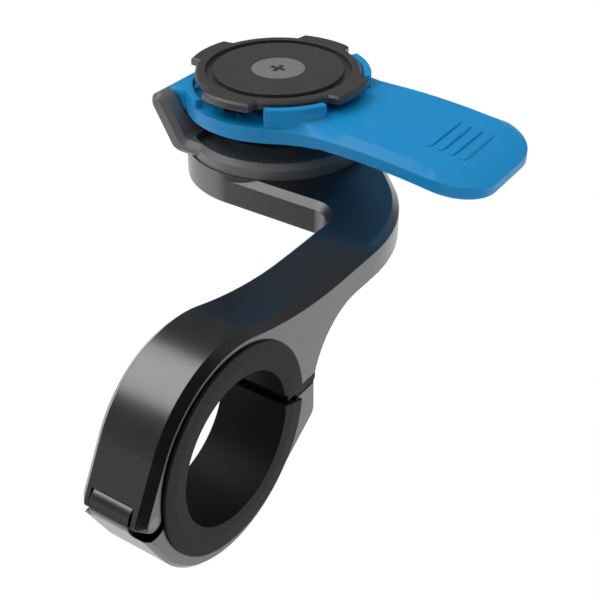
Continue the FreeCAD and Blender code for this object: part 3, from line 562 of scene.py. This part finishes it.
# %% Moulded plastics
PLASTIC_CLOUD, PLASTIC_UNEVEN = 6 * MM, 0.08
GLOW_REACH, GLOW_COLOURS = 2 * MM, (0.3, 0.7, 1.0)


def moulded(name, dark, light, gloss, shine, texture, depth, edge, glow=0.0):
    """A plastic: two near body colours, a roughness, a shine, a texture's size and depth, an edge
    radius, and the share of light that glows through from inside."""
    finish = Finish(name)
    cloud = finish.noise(PLASTIC_CLOUD)
    spark = finish.noise(texture)
    return finish.set(
        Base_Color=finish.shades(dark, light, cloud),
        Roughness=gloss + PLASTIC_UNEVEN * spark,
        Specular_IOR_Level=shine,
        Subsurface_Weight=glow,
        Subsurface_Radius=GLOW_COLOURS,
        Subsurface_Scale=GLOW_REACH,
        Normal=finish.relief(spark, depth, edge),
    ).material


soft_black = moulded("soft black plastic", dark=0.0075, light=0.0095, gloss=0.42, shine=0.14,
                     texture=0.3 * MM, depth=0.01 * MM, edge=0.2 * MM)
cradle_grey = moulded("satin grey plastic", dark=0.112, light=0.128, gloss=0.34, shine=0.95,
                      texture=0.3 * MM, depth=0.02 * MM, edge=0.2 * MM)
spark_grey = moulded("spark textured plastic", dark=0.033, light=0.041, gloss=0.28, shine=1.0,
                     texture=0.3 * MM, depth=0.03 * MM, edge=0.2 * MM)
satin_blue = moulded("satin blue plastic", dark=(0.003, 0.250, 0.560), light=(0.005, 0.267, 0.585),
                     gloss=0.34, shine=0.35, texture=0.4 * MM, depth=0.006 * MM, edge=0.3 * MM,
                     glow=0.3)
print("made four plastics")

# %% [markdown]
# The small steel parts are turned on a lathe, which leaves fine rings about their axis. The rings
# are a sine of the distance from the axis. The pins lie across, so they get the noise of a ground
# bar, and so does the spring's wire.

# %% Steel
STEEL_CLOUD, STEEL_UNEVEN, STEEL_DARKER = 0.8 * MM, 0.1, 0.9
STEEL_EDGE = 0.1 * MM
RING_PITCH, RING_SHARE = 0.16 * MM, 0.5
MARK_DEPTH = 0.004 * MM


def steel(name, shade, gloss, axis=None):
    """A metal with rings about an upright axis, or only a fine cloud where no axis is given."""
    finish = Finish(name)
    cloud = finish.noise(STEEL_CLOUD)
    marks = cloud
    if axis is not None:
        away = finish.from_axis(axis)
        marks = away.maths("SINE", away * (math.tau / RING_PITCH)) * RING_SHARE + cloud
    return finish.set(
        Base_Color=finish.shades(shade * STEEL_DARKER, shade, cloud),
        Metallic=1.0,
        Roughness=gloss + STEEL_UNEVEN * cloud,
        Normal=finish.relief(marks, MARK_DEPTH, STEEL_EDGE),
    ).material


ground_steel = steel("ground steel", shade=0.32, gloss=0.35)
turned_steel = steel("turned steel", shade=0.32, gloss=0.35, axis=screw_axis)
bright_wire = steel("spring wire", shade=0.55, gloss=0.3)
plated = steel("grey plated steel", shade=0.75, gloss=0.5, axis=head_axis)
print("made four steels")

# %% [markdown]
# The floor is matt white paper, and the cards are matt board. Board in a dim room gives only a
# little light, so it is drawn as that light: the grey card is lighter at the top, nearer to the
# lamps.

# %% Paper and board
PAPER_CLOUD = 400 * MM


def floor_paper():
    """Paper: a wide cloud between two near whites, without gloss."""
    finish = Finish("white paper")
    cloud = finish.noise(PAPER_CLOUD)
    return finish.set(
        Base_Color=finish.shades(0.96, 0.97, cloud),
        Roughness=1.0,
        Specular_IOR_Level=0.0,
    ).material


def card_board(name, low, high):
    """Board that gives a low light at the floor, and another at the height of the bar."""
    finish = Finish(name)
    height = finish.add("SeparateXYZ", {}, {0: finish.place()}, out=2)
    return finish.set(
        Base_Color=(0, 0, 0, 1),
        Specular_IOR_Level=0.0,
        Emission_Color=finish.shades(low, high, 1 - height / FLOOR_Z),
        Emission_Strength=1.0,
    ).material


paper = floor_paper()
grey_board = card_board("grey board", low=0.12, high=0.30)
black_board = card_board("black board", low=0.04, high=0.03)
print("made paper and board")

# %% [markdown]
# Every finish is now given to its pieces. The solids keep their own mesh, and only the material
# slot changes. The lever and the spring are shown by their copies, so the copies are dressed
# instead.

# %% Dress the pieces
FINISH_OF = {
    "arm": satin_metal,
    "clamp_strap": satin_metal,
    "clamp_hinge_pin": ground_steel,
    "clamp_screw": turned_steel,
    "bar_collar": soft_black,
    "lever_cradle": cradle_grey,
    "lever_hinge_pin": ground_steel,
    "centre_post": soft_black,
    "lock_disc": spark_grey,
    "head_screw": plated,
}

dress = [(nodes[name], finish) for name, finish in FINISH_OF.items()]
dress += [(lever, satin_blue), (ribs, satin_blue), (coil, bright_wire), (thread, turned_steel)]
dress += [(floor, paper), (grey_card, grey_board), (black_card, black_board)]
for piece, finish in dress:
    piece.data.materials.clear()
    piece.data.materials.append(finish)
print("dressed", len(dress), "pieces")
